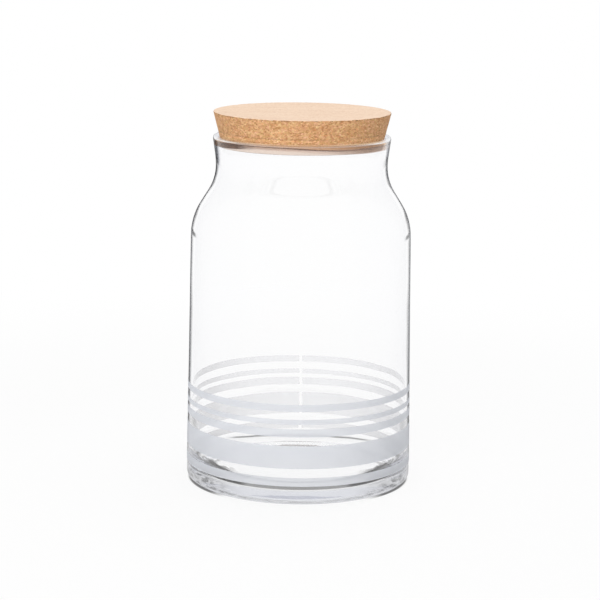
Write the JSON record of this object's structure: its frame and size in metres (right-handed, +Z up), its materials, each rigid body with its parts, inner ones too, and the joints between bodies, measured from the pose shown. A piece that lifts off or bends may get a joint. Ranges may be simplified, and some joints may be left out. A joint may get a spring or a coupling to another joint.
{
  "type": "storage jar",
  "caption": "Clear glass storage jar with a thick base, waisted neck and rounded lip, frosted bands round the lower wall, and a tapered cork stopper that lifts out.",
  "frame": {"origin": "centre of the base, on the surface that the jar stands on", "axes": "+Z up along the jar's axis of turning; -Y is the front that the picture shows, and +Y is the back, where the print of the bands meets"},
  "size_m": [0.1318, 0.1318, 0.2164],
  "materials": {
    "clear_glass": "polished",
    "cork": "matte",
    "frosted_enamel": "matte"
  },
  "bodies": {
    "jar": {"glass_jar": "clear_glass", "frosted_band_1": "frosted_enamel", "frosted_band_2": "frosted_enamel", "frosted_band_3": "frosted_enamel", "frosted_band_4": "frosted_enamel", "frosted_band_5": "frosted_enamel"},
    "stopper": {"cork_stopper": "cork"}
  },
  "joints": [
    {"name": "stopper_lift", "type": "slide", "parent": "jar", "child": "stopper", "axis": [0, 0, 1], "range_m": [0, 0.05]}
  ]
}
